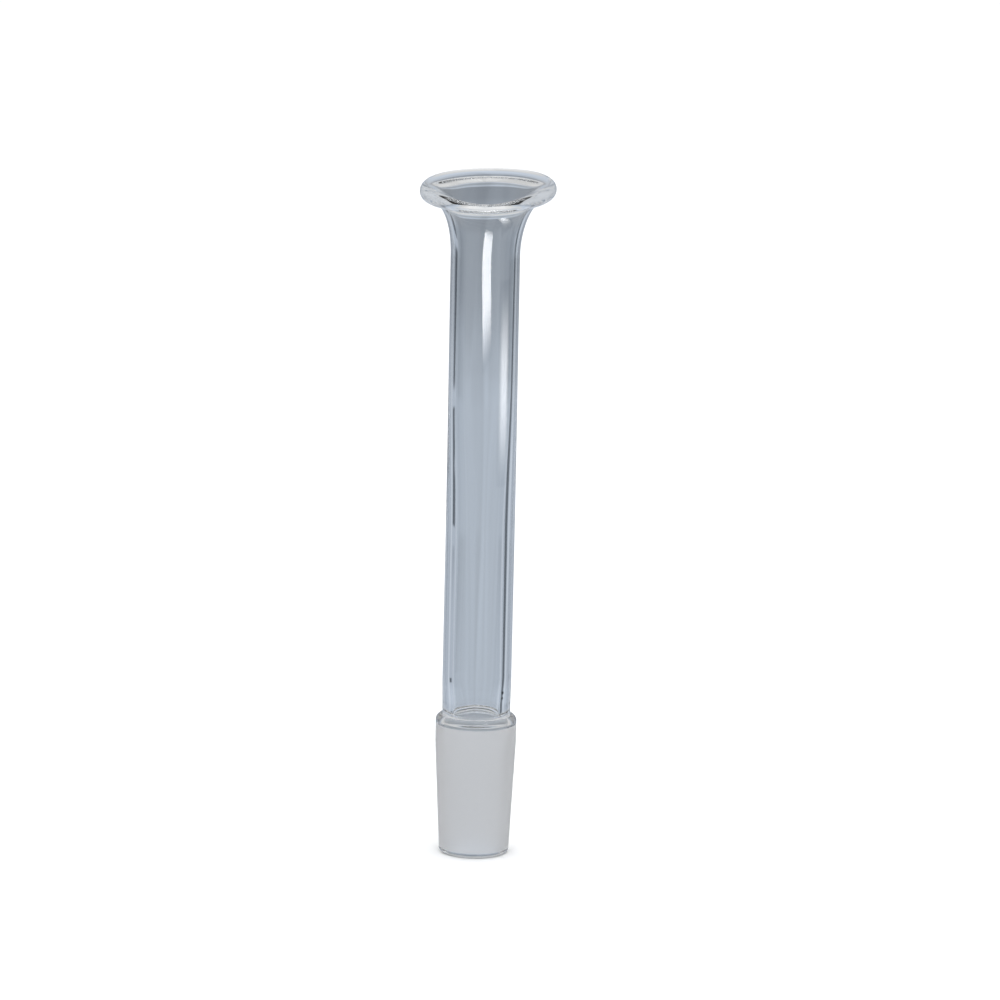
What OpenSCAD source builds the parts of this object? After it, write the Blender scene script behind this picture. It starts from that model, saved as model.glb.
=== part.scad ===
// Flared-mouth glass tube with a ground male joint.
// Every sub-part is a ring turned about Z. The origin is the centre of the joint's
// tip, +Z runs up the tube and out of its mouth, and all sizes are in millimetres.

/* [Overall] */
// Height from the tip of the joint to the top of the lip
total_h = 123; // [105:0.5:160]

/* [Lip and mouth] */
// Outer diameter of the rolled lip
lip_d = 24.4; // [22:0.1:30]
// Thickness of the lip at its round edge
lip_t = 2.6; // [1.8:0.1:3.2]
// Width of the lip, from its outer edge in to where it runs into the flare
lip_w = 3.4; // [2:0.1:4]
// Depth of the flare below the top of the lip
flare_h = 13.4; // [9:0.1:20]

/* [Tube] */
// Outer diameter of the tube
tube_d = 12.4; // [10:0.1:13.6]
// Wall of the tube's thin upper stretch, below the flare
tube_wall = 1.05; // [0.8:0.05:1.6]
// Wall of the tube's thick lower stretch
low_wall = 1.75; // [1.2:0.05:2.2]
// Length of the thick stretch, up from the seal
thick_l = 24; // [5:1:30]
// Length over which the wall thins out above the thick stretch
thinning_l = 30; // [10:1:35]

/* [Seal and shoulder] */
// Depth of the slight neck pulled into the tube above the shoulder
neck_depth = 0.1; // [0:0.05:0.4]
// Length of the worked zone above the shoulder
seal_h = 7.4; // [3.5:0.1:8]
// Height of the low bead inside the seal, above the wall of the bore
bead_h = 0.4; // [0:0.05:0.8]
// Height of the clear shoulder above the ground zone
shoulder_h = 1.5; // [1.4:0.1:3]
// Height of the straight band under the shoulder's round edge
shoulder_band_h = 0.4; // [0.1:0.1:0.8]

/* [Ground joint] */
// Diameter at the large end of the ground zone
joint_d = 14.5; // [14.2:0.1:16.5]
// Length of the ground zone
ground_l = 23; // [16:0.5:28]
// Length of the parallel band at the top of the ground zone
land_l = 3.5; // [0.5:0.1:5]
// Taper on the diameter, per millimetre of length
taper = 0.1; // [0.05:0.01:0.12]
// Wall of the joint
joint_wall = 1.5; // [1.2:0.05:1.8]

/* [Tip] */
// Height of the fire-polished tip below the ground zone
tip_h = 0.9; // [0.85:0.05:1.4]
// Rounding of the tip's outer edge
tip_round = 0.8; // [0.3:0.05:0.8]
// Rounding of the tip's inner edge
tip_inner_round = 0.3; // [0.1:0.05:0.3]

/* [Hidden] */
$fn = 96;
arc_steps = 18;

// heights of the faces where the sub-parts meet
ground_bottom_z = tip_h;
ground_top_z = ground_bottom_z + ground_l;
shoulder_top_z = ground_top_z + shoulder_h;
seal_top_z = shoulder_top_z + seal_h;
thick_top_z = seal_top_z + thick_l;
thinning_top_z = thick_top_z + thinning_l;
flare_z = total_h - flare_h;

// radii
tube_r = tube_d / 2;
bore_r = tube_r - tube_wall;
low_bore_r = tube_r - low_wall;
neck_r = tube_r - neck_depth;
seal_bore_r = low_bore_r - bead_h;
joint_r = joint_d / 2;
joint_bore_r = joint_r - joint_wall;
tip_r = joint_r - taper * (ground_l - land_l) / 2;
tip_bore_r = tip_r - joint_wall;
lip_root_r = lip_d / 2 - lip_w;
lip_edge_r = lip_t / 2;
rim_r = lip_d / 2 - lip_edge_r;

// points on an ellipse about [cr, cz], from one angle to another
function arc(cr, cz, a, b, from, to) = [
    for (i = [0:arc_steps])
        let (angle = from + (to - from) * i / arc_steps)
        [cr + a * cos(angle), cz + b * sin(angle)]
];

// points of a smooth S-shaped run between two points, level with the axis at both ends
function blend(low, high) = [
    for (i = [0:arc_steps])
        let (t = i / arc_steps)
        [
            low[0] + (high[0] - low[0]) * (1 - cos(180 * t)) / 2,
            low[1] + (high[1] - low[1]) * t
        ]
];

// The flare's two walls are quarter ellipses about a point level with its foot,
// upright at the tube and flat at the rim. Each is cut in two at the lip's root.
function flare_wall(foot_r, h, from, to) = arc(rim_r, flare_z, rim_r - foot_r, h, from, to);
function root_angle(foot_r) = 180 - acos((rim_r - lip_root_r) / (rim_r - foot_r));
outer_flare_h = flare_h - lip_t;

module turned(outline) {
    rotate_extrude() polygon(outline);
}

module rolled_lip() {
    color("aliceblue")
    turned(concat(
        flare_wall(tube_r, outer_flare_h, root_angle(tube_r), 90),
        arc(rim_r, total_h - lip_edge_r, lip_edge_r, lip_edge_r, -90, 90),
        flare_wall(bore_r, flare_h, 90, root_angle(bore_r))
    ));
}

module flared_mouth() {
    color("lightcyan")
    turned(concat(
        flare_wall(tube_r, outer_flare_h, 180, root_angle(tube_r)),
        flare_wall(bore_r, flare_h, root_angle(bore_r), 180)
    ));
}

module tube() {
    color("azure")
    turned([
        [tube_r, seal_top_z],
        [tube_r, flare_z],
        [bore_r, flare_z],
        [bore_r, thinning_top_z],
        [low_bore_r, thick_top_z],
        [low_bore_r, seal_top_z]
    ]);
}

// the outside rounds in from the joint to the neck, and the inside closes to a bead
// at the top of the shoulder and opens again into the joint
module joint_shoulder() {
    round_foot_z = ground_top_z + shoulder_band_h;
    color("lightblue")
    turned(concat(
        [[joint_r, ground_top_z]],
        arc(neck_r, round_foot_z, joint_r - neck_r, shoulder_h - shoulder_band_h, 0, 90),
        blend([neck_r, shoulder_top_z], [tube_r, seal_top_z]),
        reversed(blend([seal_bore_r, shoulder_top_z], [low_bore_r, seal_top_z])),
        reversed(blend([joint_bore_r, ground_top_z], [seal_bore_r, shoulder_top_z]))
    ));
}

function reversed(points) = [for (i = [len(points) - 1:-1:0]) points[i]];

module ground_joint() {
    color("gainsboro")
    turned([
        [tip_r, ground_bottom_z],
        [joint_r, ground_top_z - land_l],
        [joint_r, ground_top_z],
        [joint_bore_r, ground_top_z],
        [tip_bore_r, ground_bottom_z]
    ]);
}

module joint_tip() {
    color("whitesmoke")
    turned(concat(
        arc(tip_r - tip_round, tip_round, tip_round, tip_round, -90, 0),
        [[tip_r, ground_bottom_z], [tip_bore_r, ground_bottom_z]],
        arc(tip_bore_r + tip_inner_round, tip_inner_round, tip_inner_round, tip_inner_round, 180, 270)
    ));
}

rolled_lip();
flared_mouth();
tube();
joint_shoulder();
ground_joint();
joint_tip();
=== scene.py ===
import math
import random

import bpy
import numpy as np
from mathutils import Matrix, Vector


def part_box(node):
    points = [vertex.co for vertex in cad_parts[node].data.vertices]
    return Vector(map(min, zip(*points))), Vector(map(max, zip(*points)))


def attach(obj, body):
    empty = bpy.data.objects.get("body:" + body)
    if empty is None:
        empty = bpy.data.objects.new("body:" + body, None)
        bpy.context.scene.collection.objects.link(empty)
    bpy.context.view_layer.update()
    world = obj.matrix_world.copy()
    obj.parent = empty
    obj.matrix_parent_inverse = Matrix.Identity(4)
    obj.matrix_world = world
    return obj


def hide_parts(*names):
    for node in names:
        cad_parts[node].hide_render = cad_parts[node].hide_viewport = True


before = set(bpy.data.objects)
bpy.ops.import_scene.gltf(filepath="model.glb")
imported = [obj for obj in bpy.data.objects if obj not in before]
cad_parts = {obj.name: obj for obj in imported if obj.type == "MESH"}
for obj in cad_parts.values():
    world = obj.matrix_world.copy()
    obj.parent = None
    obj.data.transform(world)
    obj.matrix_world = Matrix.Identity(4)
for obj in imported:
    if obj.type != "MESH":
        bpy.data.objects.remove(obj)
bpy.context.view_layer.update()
mm = 0.001


class Shader:
    # one node tree, and a single way to add a node to it
    def __init__(self, tree):
        self.tree = tree
        tree.nodes.clear()

    def add(self, kind, settings=None, inputs=None, output=0):
        # settings go on the node first, then values or wires on its sockets
        node = self.tree.nodes.new(kind)
        for name, value in (settings or {}).items():
            if name == "stops":
                self.setStops(node, value)
            else:
                setattr(node, name, value)
        for name, value in (inputs or {}).items():
            socket = node.inputs[name]
            if isinstance(value, Wire):
                self.tree.links.new(value.socket, socket)
            else:
                socket.default_value = value
        return Wire(self, node.outputs[output]) if node.outputs else None

    def setStops(self, node, stops):
        elements = node.color_ramp.elements
        while len(elements) < len(stops):
            elements.new(0.5)
        for element, (place, level) in zip(elements, stops):
            element.position = place
            element.color = (level, level, level, 1)


class Wire:
    # an output socket that can be calculated with
    def __init__(self, shader, socket):
        self.shader = shader
        self.socket = socket

    def maths(self, operation, *values):
        return self.shader.add("ShaderNodeMath", {"operation": operation}, dict(enumerate(values)))

    def pick(self, name):
        # another output of the same node
        return Wire(self.shader, self.socket.node.outputs[name])

    def __add__(self, other):
        return self.maths("ADD", self, other)

    def __radd__(self, other):
        return self.maths("ADD", other, self)

    def __sub__(self, other):
        return self.maths("SUBTRACT", self, other)

    def __rsub__(self, other):
        return self.maths("SUBTRACT", other, self)

    def __mul__(self, other):
        return self.maths("MULTIPLY", self, other)

    def __rmul__(self, other):
        return self.maths("MULTIPLY", other, self)

    def __truediv__(self, other):
        return self.maths("DIVIDE", self, other)

    def __rtruediv__(self, other):
        return self.maths("DIVIDE", other, self)

    def __abs__(self):
        return self.maths("ABSOLUTE", self)


def newMaterial(name):
    material = bpy.data.materials.new(name)
    material.use_nodes = True
    return material, Shader(material.node_tree)


def objectPlace(shader):
    return shader.add("ShaderNodeTexCoord", output="Object")


def noise(shader, place, scale, detail, stretch=(1, 1, 1)):
    # noise in the object's own metres, stretched along each axis
    scaled = shader.add("ShaderNodeVectorMath", {"operation": "MULTIPLY"}, {0: place, 1: stretch})
    return shader.add("ShaderNodeTexNoise", {}, {"Vector": scaled, "Scale": scale, "Detail": detail})


mixedColour = 2         # the Mix node's output for colours


def mixed(shader, factor, first, second, blending="MIX"):
    settings = {"data_type": "RGBA", "blend_type": blending}
    return shader.add("ShaderNodeMix", settings, {"Factor": factor, "A": first, "B": second}, mixedColour)


def fading(shader, value, start, end):
    # 1 up to start, falling evenly to 0 at end
    return shader.add("ShaderNodeMapRange", {}, {
        "Value": value, "From Min": start, "From Max": end, "To Min": 1.0, "To Max": 0.0})


def rising(shader, value, start, end):
    # 0 up to start, rising evenly to 1 at end
    return shader.add("ShaderNodeMapRange", {}, {"Value": value, "From Min": start, "From Max": end})


def easing(shader, value, start, end, low=0.0, high=1.0):
    # the same with a soft start and end, from low to high
    return shader.add("ShaderNodeMapRange", {"interpolation_type": "SMOOTHSTEP"}, {
        "Value": value, "From Min": start, "From Max": end, "To Min": low, "To Max": high})


glassIndex = 1.474      # how strongly borosilicate bends light

clearLook = {
    "colour": (0.975, 0.985, 0.99, 1),
    # near-black colour of the painted seal shade and of the two dark spots
    "paintedShadeAndSpecks": (0.002, 0.003, 0.004, 1),
    "streakScale": 900, "streakStretch": (1, 1, 0.03),      # faint long streaks from drawing the tube
    "streakHeight": 0.004 * mm, "streakStrength": 0.35,
    "hazeScale": 260, "haze": 0.02,
    # two small dark spots near the seal: centre, and how far they reach
    "specks": [((4.7 * mm, -4.04 * mm, 30.3 * mm), 0.42 * mm),
               ((4.66 * mm, -4.09 * mm, 29.3 * mm), 0.36 * mm)],
}

# painted shade: a dark line round the inside of the seal, standing in for the dark arc the bore's edge
# shows there, which shows only at the back
paintedSealShade = {"height": 25.4 * mm, "width": 0.16 * mm, "radius": 4.6 * mm, "radiusFade": 0.2 * mm,
            "backFrom": 0.5 * mm, "backTo": 2 * mm, "strength": 0.9}


# painted shade: mask of the dark seal line, on the back half only
def paintedSealShadeMask(shader, place):
    parts = shader.add("ShaderNodeSeparateXYZ", {}, {"Vector": place})
    flat = shader.add("ShaderNodeCombineXYZ", {}, {"X": parts.pick("X"), "Y": parts.pick("Y")})
    outward = shader.add("ShaderNodeVectorMath", {"operation": "LENGTH"}, {0: flat}, "Value")
    away = abs(parts.pick("Z") - paintedSealShade["height"])
    onLine = fading(shader, away, paintedSealShade["width"] * 0.5, paintedSealShade["width"])
    inside = fading(shader, outward, paintedSealShade["radius"], paintedSealShade["radius"] + paintedSealShade["radiusFade"])
    behind = rising(shader, parts.pick("Y"), paintedSealShade["backFrom"], paintedSealShade["backTo"])
    return onLine * inside * behind * paintedSealShade["strength"]


def clearGlass():
    # drawn, fire-polished glass, nearly colourless
    look = clearLook
    material, shader = newMaterial("clear_glass")
    place = objectPlace(shader)
    streaks = noise(shader, place, look["streakScale"], detail=2, stretch=look["streakStretch"])
    haze = noise(shader, place, look["hazeScale"], detail=3)
    bump = shader.add("ShaderNodeBump", {}, {
        "Height": streaks, "Strength": look["streakStrength"], "Distance": look["streakHeight"]})
    # painted shade at the seal plus two dark spots, mixed into the base colour
    paintedShadeAndSpecks = paintedSealShadeMask(shader, place)
    for speck, reach in look["specks"]:
        away = shader.add("ShaderNodeVectorMath", {"operation": "DISTANCE"}, {0: place, 1: speck}, "Value")
        paintedShadeAndSpecks = paintedShadeAndSpecks + fading(shader, away, reach * 0.5, reach)
    surface = shader.add("ShaderNodeBsdfPrincipled", {}, {
        "Base Color": mixed(shader, paintedShadeAndSpecks, look["colour"], look["paintedShadeAndSpecks"]),
        "Roughness": haze * look["haze"],
        "IOR": glassIndex,
        "Transmission Weight": 1.0,
        "Normal": bump,
    })
    shader.add("ShaderNodeOutputMaterial", {}, {"Surface": surface})
    return material


groundLook = {
    "colour": (0.98, 0.965, 0.95, 1),
    "clearness": 0.7,                                       # share of the light that goes through
    "pitScale": 9000, "pits": 0.7,                          # fine pits all over
    "markScale": 1500, "markStretch": (0.12, 0.12, 1),      # faint marks left round it by grinding
    "marks": 0.5,
    "patchScale": 140,
    "height": 0.02 * mm, "strength": 0.6,
    "roughness": 0.42, "patchRoughness": 0.1, "markRoughness": 0.12,
}


def groundGlass():
    look = groundLook
    material, shader = newMaterial("ground_glass")
    place = objectPlace(shader)
    pits = noise(shader, place, look["pitScale"], detail=2)
    marks = noise(shader, place, look["markScale"], detail=3, stretch=look["markStretch"])
    patches = noise(shader, place, look["patchScale"], detail=2)
    bump = shader.add("ShaderNodeBump", {}, {
        "Height": pits * look["pits"] + marks * look["marks"],
        "Strength": look["strength"], "Distance": look["height"]})
    roughness = look["roughness"] + patches * look["patchRoughness"] + marks * look["markRoughness"]
    surface = shader.add("ShaderNodeBsdfPrincipled", {}, {
        "Base Color": look["colour"],
        "Roughness": roughness,
        "IOR": glassIndex,
        "Transmission Weight": look["clearness"],
        "Normal": bump,
    })
    shader.add("ShaderNodeOutputMaterial", {}, {"Surface": surface})
    return material


def fusedFace():
    # where two worked zones meet inside the glass there is nothing to see
    material, shader = newMaterial("fused_face")
    surface = shader.add("ShaderNodeBsdfPrincipled", {}, {
        "Base Color": (1, 1, 1, 1),
        "Alpha": 0.0,
        "Roughness": 1.0,
    })
    shader.add("ShaderNodeOutputMaterial", {}, {"Surface": surface})
    return material


clear = clearGlass()
ground = groundGlass()
fused = fusedFace()
print("materials made")


def arc(centre, radii, start, end, steps):
    # points of an ellipse, from one angle in degrees to another
    angles = [math.radians(start + (end - start) * i / steps) for i in range(steps + 1)]
    return [(centre[0] + radii[0] * math.cos(a), centre[1] + radii[1] * math.sin(a)) for a in angles]


def line(low, high, steps):
    return [(low[0] + (high[0] - low[0]) * i / steps, low[1] + (high[1] - low[1]) * i / steps)
            for i in range(steps + 1)]


def blend(low, high, steps):
    # an S-shaped run that is upright at both ends
    points = []
    for i in range(steps + 1):
        share = i / steps
        eased = (1 - math.cos(math.pi * share)) / 2
        points.append((low[0] + (high[0] - low[0]) * eased, low[1] + (high[1] - low[1]) * share))
    return points


samePoint = 1e-7        # points nearer than this count as one


def joined(*runs):
    # one run from several, each shared end kept once
    points = []
    for run in runs:
        for point in run:
            if not points or math.dist(point, points[-1]) > samePoint:
                points.append(point)
    return points


def boxOf(node):
    low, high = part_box(node)
    return {"radius": (high.x - low.x) / 2, "low": low.z, "high": high.z}


lipBox = boxOf("rolled_lip")
tubeBox = boxOf("tube")
shoulderBox = boxOf("joint_shoulder")
groundBox = boxOf("ground_joint")
tipBox = boxOf("joint_tip")

# each run below goes up the piece as (radius, height), outside and inside

joint = {"wall": 1.5 * mm, "land": 3.5 * mm, "taper": 0.1}

jointRadius = groundBox["radius"]
jointBore = jointRadius - joint["wall"]
taperedLength = groundBox["high"] - groundBox["low"] - joint["land"]
tipRadius = jointRadius - joint["taper"] * taperedLength / 2
tipBore = tipRadius - joint["wall"]


def groundRuns():
    landFoot = groundBox["high"] - joint["land"]
    outer = joined(
        line((tipRadius, groundBox["low"]), (jointRadius, landFoot), 40),
        line((jointRadius, landFoot), (jointRadius, groundBox["high"]), 8))
    inner = line((tipBore, groundBox["low"]), (jointBore, groundBox["high"]), 40)
    return outer, inner


tip = {"outerRound": 0.8 * mm, "innerRound": 0.3 * mm}


def tipRuns():
    outerCentre = tipRadius - tip["outerRound"]
    innerCentre = tipBore + tip["innerRound"]
    flatMiddle = (outerCentre + innerCentre) / 2
    outer = joined(
        line((flatMiddle, 0), (outerCentre, 0), 2),
        arc((outerCentre, tip["outerRound"]), (tip["outerRound"], tip["outerRound"]), -90, 0, 12),
        [(tipRadius, tipBox["high"])])
    inner = joined(
        line((flatMiddle, 0), (innerCentre, 0), 2),
        arc((innerCentre, tip["innerRound"]), (tip["innerRound"], tip["innerRound"]), 270, 180, 8),
        line((tipBore, tip["innerRound"]), (tipBore, tipBox["high"]), 3))
    return outer, inner


tube = {"wall": 1.05 * mm, "lowWall": 1.75 * mm, "thick": 24 * mm, "thinning": 30 * mm}

tubeRadius = tubeBox["radius"]
bore = tubeRadius - tube["wall"]
lowBore = tubeRadius - tube["lowWall"]


def tubeRuns():
    thickTop = tubeBox["low"] + tube["thick"]
    thinningTop = thickTop + tube["thinning"]
    outer = line((tubeRadius, tubeBox["low"]), (tubeRadius, tubeBox["high"]), 78)
    inner = joined(
        line((lowBore, tubeBox["low"]), (lowBore, thickTop), 24),
        blend((lowBore, thickTop), (bore, thinningTop), 30),
        line((bore, thinningTop), (bore, tubeBox["high"]), 24))
    return outer, inner


shoulder = {
    "height": 1.5 * mm, "band": 0.4 * mm,
    "neck": 0.1 * mm,                           # how far the tube is drawn in just above
    "fillet": 0.3 * mm, "filletRise": 0.9,      # the round at the neck's foot, and its centre's height
    "roundEnd": 74, "filletStart": 250,         # where the two rounds meet, in degrees
    "bead": 0.4 * mm,                           # inside, over the wall of the bore
    "ridge": 0.14 * mm, "ridgeWidth": 0.2 * mm,     # the fine crest on the bead
}


def shoulderRuns():
    shoulderTop = groundBox["high"] + shoulder["height"]
    roundFoot = groundBox["high"] + shoulder["band"]
    neck = tubeRadius - shoulder["neck"]
    beadRadius = lowBore - shoulder["bead"]
    fillet = shoulder["fillet"]
    filletCentre = (neck + fillet, shoulderTop + fillet * shoulder["filletRise"])
    outer = joined(
        line((jointRadius, groundBox["high"]), (jointRadius, roundFoot), 3),
        arc((neck, roundFoot), (jointRadius - neck, shoulderTop - roundFoot), 0, shoulder["roundEnd"], 14),
        arc(filletCentre, (fillet, fillet), shoulder["filletStart"], 180, 6),
        blend((neck, shoulderTop + fillet), (tubeRadius, shoulderBox["high"]), 16))
    smooth = joined(
        blend((jointBore, groundBox["high"]), (beadRadius, shoulderTop), 24),
        blend((beadRadius, shoulderTop), (lowBore, shoulderBox["high"]), 60))
    inner = []
    for radius, z in smooth:
        away = (z - shoulderTop) / shoulder["ridgeWidth"]
        inner.append((radius - shoulder["ridge"] * math.exp(-away ** 2), z))
    return outer, inner


mouth = {"lipThickness": 2.6 * mm, "lipWidth": 3.4 * mm}

top = lipBox["high"]
flareFoot = tubeBox["high"]
lipEdge = mouth["lipThickness"] / 2
rimRadius = lipBox["radius"] - lipEdge
rootRadius = lipBox["radius"] - mouth["lipWidth"]
innerFlareHeight = top - flareFoot
outerFlareHeight = innerFlareHeight - mouth["lipThickness"]


def flareArc(foot, height, start, end, steps):
    # upright at the tube, at 180 degrees, and flat at the rim, at 90
    return arc((rimRadius, flareFoot), (rimRadius - foot, height), start, end, steps)


def rootAngle(foot):
    # where the lip takes over from the flare
    return 180 - math.degrees(math.acos((rimRadius - rootRadius) / (rimRadius - foot)))


def flareRuns():
    outer = flareArc(tubeRadius, outerFlareHeight, 180, rootAngle(tubeRadius), 36)
    inner = flareArc(bore, innerFlareHeight, 180, rootAngle(bore), 36)
    return outer, inner


def lipRuns():
    outer = joined(
        flareArc(tubeRadius, outerFlareHeight, rootAngle(tubeRadius), 90, 16),
        arc((rimRadius, top - lipEdge), (lipEdge, lipEdge), -90, 90, 32))
    inner = flareArc(bore, innerFlareHeight, rootAngle(bore), 90, 20)
    return outer, inner


# what a glassblower's hand leaves: the lip not quite square, the tube not quite straight or round
handmade = {
    "lipTiltRight": math.radians(1.7),      # the right of the lip stands higher
    "lipTiltBack": math.radians(4.0),       # and so does its back
    "lipDrop": 0.12 * mm,
    "lipShift": 0.28 * mm,                  # to the right
    "lipDip": 0.7 * mm,                     # its front and back are pressed thinner than its sides
    "lipDipUneven": 0.43,                   # the front more than the back
    "lipDipPower": 4,                       # how quickly that fades towards the sides
    "bow": 0.08 * mm, "bowBack": 0.4,       # the tube bends this far sideways, and a share of it back
    "outerWave": 0.012 * mm, "outerWaves": 12, "outerSeed": 3,
    "innerWave": 0.03 * mm, "innerWaves": 14, "innerSeed": 5,
    "mostRound": 9, "mostAlong": 14,        # at most this many waves round, and to a metre of length
    "leastShare": 0.4,                      # the weakest wave against the strongest
}


def waves(seed, count):
    # long, shallow waves round and along the tube: (times round, turns per metre, share, phase)
    dice = random.Random(seed)
    along = handmade["mostAlong"]
    return [(dice.randint(1, handmade["mostRound"]), dice.uniform(-along, along),
             dice.uniform(handmade["leastShare"], 1) / math.sqrt(count), dice.uniform(0, 2 * math.pi))
            for _ in range(count)]


def waveHeight(terms, angle, z):
    return sum(share * np.cos(times * angle + 2 * math.pi * turns * z + phase)
               for times, turns, share, phase in terms)


def smoothStep(values, low, high):
    share = np.clip((values - low) / (high - low), 0, 1)
    return share * share * (3 - 2 * share)


def placed(outline, isOutside, around):
    # turns the outline about the axis and adds the handmade unevenness
    radius = outline[:, 0][:, None]
    z = outline[:, 1][:, None]
    angle = np.linspace(0, 2 * math.pi, around, endpoint=False)[None, :]
    outerTerms = waves(handmade["outerSeed"], handmade["outerWaves"])
    innerTerms = waves(handmade["innerSeed"], handmade["innerWaves"])
    radius = radius + np.where(isOutside[:, None],
                               handmade["outerWave"] * waveHeight(outerTerms, angle, z),
                               handmade["innerWave"] * waveHeight(innerTerms, angle, z))
    x = radius * np.cos(angle)
    y = radius * np.sin(angle)
    share = smoothStep(z, flareFoot, top)
    lift = x * math.tan(handmade["lipTiltRight"]) + y * math.tan(handmade["lipTiltBack"])
    lift = lift - handmade["lipDrop"]
    dip = handmade["lipDip"] * (1 - handmade["lipDipUneven"] * np.sin(angle))
    dip = dip * np.sin(angle) ** handmade["lipDipPower"]
    dip = dip * smoothStep(z, top - mouth["lipThickness"], top)
    z = z + share * lift - dip
    x = x + share * handmade["lipShift"]
    bend = handmade["bow"] * np.sin(math.pi * smoothStep(z, groundBox["high"], flareFoot))
    return np.stack([x + bend, y + handmade["bowBack"] * bend, z], axis=2)


def normalsOf(grid):
    upward = np.roll(grid, -1, axis=0) - np.roll(grid, 1, axis=0)
    sideways = np.roll(grid, -1, axis=1) - np.roll(grid, 1, axis=1)
    normals = np.cross(sideways, upward)
    return normals / np.linalg.norm(normals, axis=2, keepdims=True)


around = 192        # points round the axis
zones = [("joint_tip", tipRuns()), ("ground_joint", groundRuns()), ("joint_shoulder", shoulderRuns()),
         ("tube", tubeRuns()), ("flared_mouth", flareRuns()), ("rolled_lip", lipRuns())]

# the whole glass is one closed loop: up the outside, over the lip and down the inside
outerRun = []
innerRun = []
spans = {}
for name, (outer, inner) in zones:
    outerFrom = max(len(outerRun) - 1, 0)
    innerFrom = max(len(innerRun) - 1, 0)
    outerRun = joined(outerRun, outer)
    innerRun = joined(innerRun, inner)
    spans[name] = (outerFrom, len(outerRun) - 1, innerFrom, len(innerRun) - 1)
innerRun = innerRun[1:-1]       # its two ends are already on the outer run
outline = np.array(outerRun + innerRun[::-1])
isOutside = np.array([True] * len(outerRun) + [False] * len(innerRun))
grid = placed(outline, isOutside, around)
gridNormals = normalsOf(grid)


def innerRow(index):
    # the loop's row for a place on the inner run
    if index == 0:
        return 0
    if index == len(innerRun) + 1:
        return len(outerRun) - 1
    return len(outline) - index


def ringMesh(name, rows, fusedSteps, materials, rowSlots):
    # rows: loop rows in order round the piece's section; fusedSteps: the steps that meet the next zone
    vertices = grid[rows].reshape(-1, 3)
    rowNormals = gridNormals[rows]
    faces = []
    slots = []
    normals = []
    for step in range(len(rows)):
        nextStep = (step + 1) % len(rows)
        for turn in range(around):
            nextTurn = (turn + 1) % around
            corners = [(step, turn), (step, nextTurn), (nextStep, nextTurn), (nextStep, turn)]
            face = [row * around + column for row, column in corners]
            faces.append(face)
            if step in fusedSteps:
                a, b, c = (Vector(vertices[corner]) for corner in face[:3])
                slots.append(len(materials) - 1)
                normals += [(b - a).cross(c - b).normalized()] * 4
            else:
                slots.append(rowSlots[step])
                normals += [Vector(rowNormals[row, column]) for row, column in corners]
    mesh = bpy.data.meshes.new(name)
    mesh.from_pydata([tuple(v) for v in vertices], [], faces)
    for material in materials:
        mesh.materials.append(material)
    mesh.polygons.foreach_set("material_index", slots)
    mesh.polygons.foreach_set("use_smooth", [True] * len(faces))
    mesh.normals_split_custom_set(normals)
    mesh.update()
    piece = bpy.data.objects.new(name, mesh)
    bpy.context.scene.collection.objects.link(piece)
    return piece


faceCounts = {}
for name, _ in zones:
    outerFrom, outerTo, innerFrom, innerTo = spans[name]
    up = list(range(outerFrom, outerTo + 1))
    down = [innerRow(i) for i in range(innerTo, innerFrom - 1, -1)]
    if name == "rolled_lip":
        rows = up + down[1:]            # its runs share the top of the lip
        fusedSteps = {len(rows) - 1}
    elif name == "joint_tip":
        rows = down[:-1] + up           # and these share the middle of the flat end
        fusedSteps = {len(rows) - 1}
    else:
        rows = up + down
        fusedSteps = {len(up) - 1, len(rows) - 1}
    if name == "ground_joint":
        rowSlots = [0] * len(up) + [1] * len(down)      # frosted outside, clear inside
        piece = ringMesh("ground_joint_glass", rows, fusedSteps, [ground, clear, fused], rowSlots)
    else:
        piece = ringMesh(name + "_glass", rows, fusedSteps, [clear, fused], [0] * len(rows))
    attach(piece, "root")
    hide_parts(name)
    "ground_glass" if name == "ground_joint" else "clear_glass"
    faceCounts[name] = len(piece.data.polygons)
print("glass made:", faceCounts)


def rectangle(name, width, height, material):
    w = width / 2
    h = height / 2
    mesh = bpy.data.meshes.new(name)
    mesh.from_pydata([(-w, -h, 0), (w, -h, 0), (w, h, 0), (-w, h, 0)], [], [(0, 1, 2, 3)])
    mesh.materials.append(material)
    sheet = bpy.data.objects.new(name, mesh)
    bpy.context.scene.collection.objects.link(sheet)
    return sheet


floorLook = {"size": 12.0, "colour": (0.9, 0.9, 0.9, 1), "roughness": 0.8}


def makeFloor():
    material, shader = newMaterial("floor_white")
    surface = shader.add("ShaderNodeBsdfPrincipled", {}, {
        "Base Color": floorLook["colour"], "Roughness": floorLook["roughness"]})
    shader.add("ShaderNodeOutputMaterial", {}, {"Surface": surface})
    floor = rectangle("floor", floorLook["size"], floorLook["size"], material)
    floor.visible_transmission = False
    floor.visible_glossy = False


overhead = {"height": 1.2, "size": 2.0, "power": 20}


def makeOverhead():
    # lights the floor and the frosting, and shows in no reflection
    data = bpy.data.lights.new("overhead", "AREA")
    data.shape = "RECTANGLE"
    data.size = overhead["size"]
    data.size_y = overhead["size"]
    data.energy = overhead["power"]
    light = bpy.data.objects.new("overhead", data)
    bpy.context.scene.collection.objects.link(light)
    light.location = (0, 0, overhead["height"])
    light.visible_camera = False
    light.visible_glossy = False
    light.visible_transmission = False


# glowing cards that the tube reflects: the edges fade over a share of their half width and half height
cards = {
    "window": {"place": (2.3 * mm, -30 * mm, 105 * mm), "aim": (2.3 * mm, 0, 105 * mm),
               "size": (15 * mm, 40 * mm), "strength": 17, "soft": (0.2, 0.66), "roll": -0.2},
    "side": {"place": (18 * mm, -8.8 * mm, 84 * mm), "aim": (0, 0, 84 * mm),
             "size": (14 * mm, 38 * mm), "strength": 10, "soft": (0.8, 0.9), "roll": 0.0},
}


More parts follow.
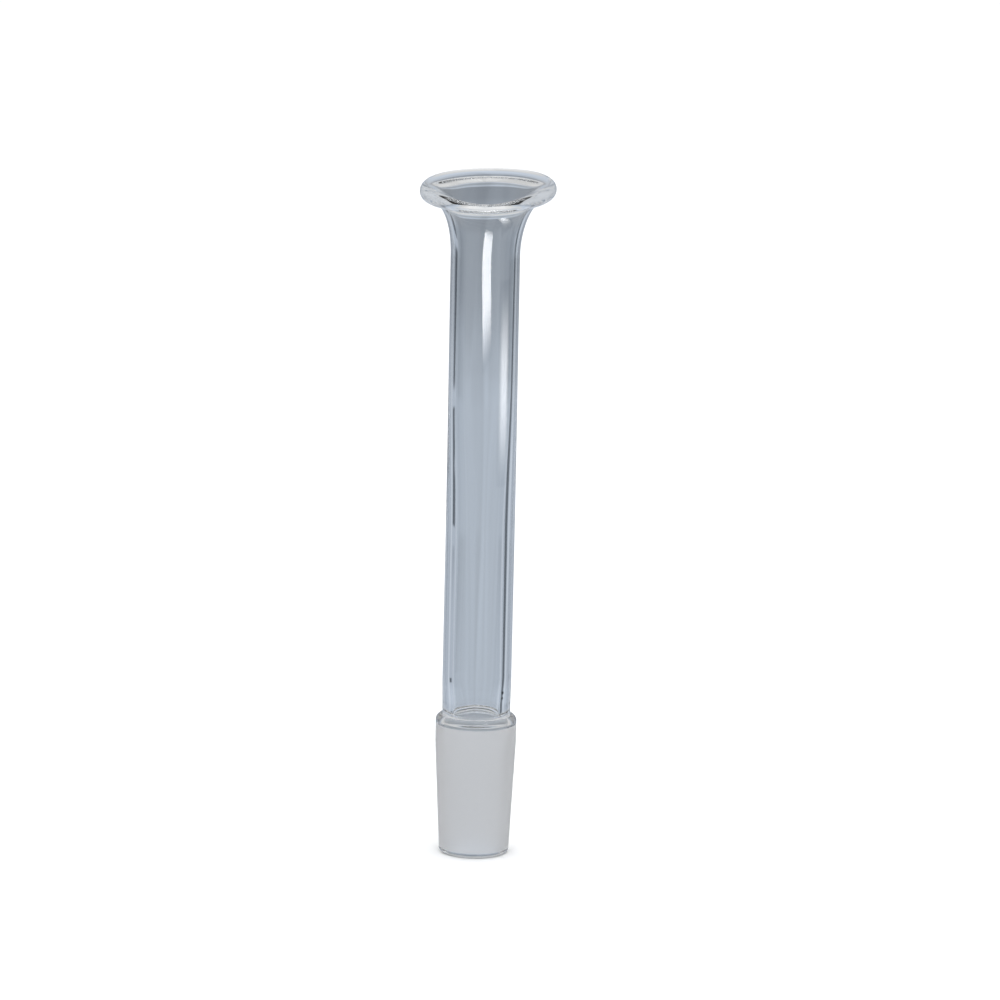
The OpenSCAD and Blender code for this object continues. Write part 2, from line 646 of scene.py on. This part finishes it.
def makeCard(name, place, aim, size, strength, soft, roll):
    material, shader = newMaterial(name)
    parts = shader.add("ShaderNodeSeparateXYZ", {}, {"Vector": objectPlace(shader)})
    fades = []
    for axis, width, share in zip("XY", size, soft):
        outward = abs(parts.pick(axis)) * (2 / width)
        fades.append(easing(shader, outward, 1 - share, 1.0, 1.0, 0.0))
    glow = mixed(shader, fades[0] * fades[1], (0, 0, 0, 1), (1, 1, 1, 1))
    surface = shader.add("ShaderNodeBsdfPrincipled", {}, {
        "Base Color": (0, 0, 0, 1), "Roughness": 1.0, "Specular IOR Level": 0.0,
        "Emission Color": glow, "Emission Strength": strength})
    shader.add("ShaderNodeOutputMaterial", {}, {"Surface": surface})
    card = rectangle(name, size[0], size[1], material)
    facing = (Vector(aim) - Vector(place)).to_track_quat("Z", "Y")
    card.location = place
    card.rotation_mode = "QUATERNION"
    card.rotation_quaternion = facing @ Matrix.Rotation(roll, 3, "Z").to_quaternion()
    card.visible_camera = False
    card.visible_transmission = False
    card.visible_shadow = False


studio = {
    # brightness of the background against elevation in degrees, which the clear glass refracts
    "behind": [(-90, 0.92), (-56, 0.92), (-47, 0.78), (-38, 0.67), (-30, 0.63), (-22, 0.56), (-17, 0.47),
               (-15.5, 0.47), (-13.3, 0.47), (-12.65, 0.45), (-12.4, 0.41), (-12.3, 0.36), (-12.2, 0.325),
               (-12.05, 0.305), (-9, 0.295), (-8, 0.265), (-1.3, 0.255), (-0.7, 0.5), (1.0, 0.5),
               (1.6, 0.34), (5.0, 0.36), (7.0, 0.56), (90, 0.75)],
    "behindPivot": -12.3, "behindSpread": 6,            # its ramp is finest round the pivot
    # and how it varies against azimuth, from left to right
    "across": [(-90, 1.0), (-25, 1.0), (-19, 0.9), (-15, 0.84), (-11, 0.88), (-8, 0.95), (-5, 1.01),
               (-2.6, 1.0), (-2.0, 0.945), (-0.2, 0.95), (0.5, 1.0), (0.9, 1.045), (1.5, 1.045),
               (2.1, 0.99), (4, 1.02), (10, 0.98), (13, 0.9), (17, 0.83), (22, 0.86), (27, 1.0),
               (90, 1.0)],
    "acrossPivot": 0, "acrossSpread": 4,
    "even": (-90, -13.9, 0.6), "evenness": 0.85,        # low down it hardly varies
    "stripes": 0.16, "stripeScale": 0.45,               # finer changes from side to side
    "tint": (0.88, 0.985, 1.135, 1), "tinted": (-28, 4, 10),        # the grey-blue of the middle
    "front": (0.60, 0.63, 0.67, 1), "frontFrom": 75.0, "frontTo": 110.0,
    # panels to the sides: azimuth from, to and soft, then elevation low, high and soft
    "whiteSides": (27, 37, 3, -22, -4, 6), "white": (0.8, 0.85, 0.92, 1), "whiteness": 0.35,
    "darkLeft": (45, 57, 3, -12.5, 4, 0.9),
    "darkLeftLow": (43, 57, 3, -17.3, -14.9, 0.4),
    "darkRight": (45, 57, 3, -22, 4, 3),
    "dark": (0.03, 0.04, 0.05, 1), "darkness": 0.85,
    "backdrop": (1, 1, 1, 1),                           # what the camera itself sees
}


def band(shader, value, low, high, soft):
    # 1 between low and high, falling to 0 over soft on both sides
    return easing(shader, value, low - soft, low) * easing(shader, value, high, high + soft, 1.0, 0.0)


def panel(shader, azimuth, elevation, place):
    return band(shader, azimuth, *place[:3]) * band(shader, elevation, *place[3:])


def squash(degrees, pivot, spread):
    # stretches the degrees near the pivot over most of 0 to 1; works on a number or on a wire
    away = (degrees - pivot) * (1 / spread)
    return away / (abs(away) + 1) * 0.5 + 0.5


def graded(shader, degrees, stops, pivot, spread):
    # a ramp holds few steps, so it runs over squashed degrees
    places = [(squash(place, pivot, spread), level) for place, level in stops]
    return shader.add("ShaderNodeValToRGB", {"stops": places}, {"Fac": squash(degrees, pivot, spread)})


def makeWorld():
    world = bpy.data.worlds.new("studio")
    bpy.context.scene.world = world
    world.use_nodes = True
    shader = Shader(world.node_tree)
    direction = shader.add("ShaderNodeTexCoord", output="Generated")
    parts = shader.add("ShaderNodeSeparateXYZ", {}, {"Vector": direction})
    toDegrees = 180 / math.pi
    elevation = parts.maths("ARCSINE", parts.pick("Z")) * toDegrees
    azimuth = parts.maths("ARCTAN2", parts.pick("X"), parts.pick("Y")) * toDegrees

    behind = graded(shader, elevation, studio["behind"], studio["behindPivot"], studio["behindSpread"])
    inTint = band(shader, elevation, *studio["tinted"])
    tinted = mixed(shader, inTint, behind, studio["tint"], "MULTIPLY")

    across = graded(shader, azimuth, studio["across"], studio["acrossPivot"], studio["acrossSpread"])
    even = band(shader, elevation, *studio["even"]) * studio["evenness"]
    across = across + (1 - across) * even
    ripple = shader.add("ShaderNodeTexNoise", {"noise_dimensions": "1D"}, {
        "W": azimuth, "Scale": studio["stripeScale"], "Detail": 3})
    level = ((ripple - 0.5) * (2 * studio["stripes"]) + 1) * across
    striped = mixed(shader, 1.0, tinted, level, "MULTIPLY")

    isFront = easing(shader, abs(azimuth), studio["frontFrom"], studio["frontTo"])
    allRound = mixed(shader, isFront, striped, studio["front"])
    whiteShare = panel(shader, abs(azimuth), elevation, studio["whiteSides"]) * studio["whiteness"]
    white = mixed(shader, whiteShare, allRound, studio["white"])
    leftward = azimuth * -1
    panels = (panel(shader, leftward, elevation, studio["darkLeft"])
              + panel(shader, leftward, elevation, studio["darkLeftLow"])
              + panel(shader, azimuth, elevation, studio["darkRight"]))
    dark = mixed(shader, panels * studio["darkness"], white, studio["dark"])

    seen = shader.add("ShaderNodeLightPath").pick("Is Camera Ray")
    shown = mixed(shader, seen, dark, studio["backdrop"])
    surface = shader.add("ShaderNodeBackground", {}, {"Color": shown, "Strength": 1.0})
    shader.add("ShaderNodeOutputWorld", {}, {"Surface": surface})


view = {"aim": (3.5 * mm, 0, 64.9 * mm), "elevation": math.radians(13.0), "roll": math.radians(1.17),
        "distance": 2500 * mm, "frameWidth": 179.2 * mm, "sensor": 36.0, "nearest": 0.1, "farthest": 30}


def makeCamera():
    data = bpy.data.cameras.new("camera")
    data.sensor_width = view["sensor"]
    data.lens = view["sensor"] * view["distance"] / view["frameWidth"]
    data.clip_start = view["nearest"]
    data.clip_end = view["farthest"]
    camera = bpy.data.objects.new("camera", data)
    bpy.context.scene.collection.objects.link(camera)
    back = Vector((0, -math.cos(view["elevation"]), math.sin(view["elevation"])))
    camera.location = Vector(view["aim"]) + back * view["distance"]
    facing = (-back).to_track_quat("-Z", "Y")
    camera.rotation_mode = "QUATERNION"
    camera.rotation_quaternion = facing @ Matrix.Rotation(view["roll"], 3, "Z").to_quaternion()
    bpy.context.scene.camera = camera


makeFloor()
makeWorld()
makeOverhead()
for name, card in cards.items():
    makeCard(name, **card)
makeCamera()
bpy.context.scene.view_settings.view_transform = "Standard"
print("stage made")

bounces = 64        # light runs far inside a glass wall before it comes out
cycles = bpy.context.scene.cycles
cycles.max_bounces = bounces
cycles.glossy_bounces = bounces
cycles.transmission_bounces = bounces
cycles.transparent_max_bounces = bounces
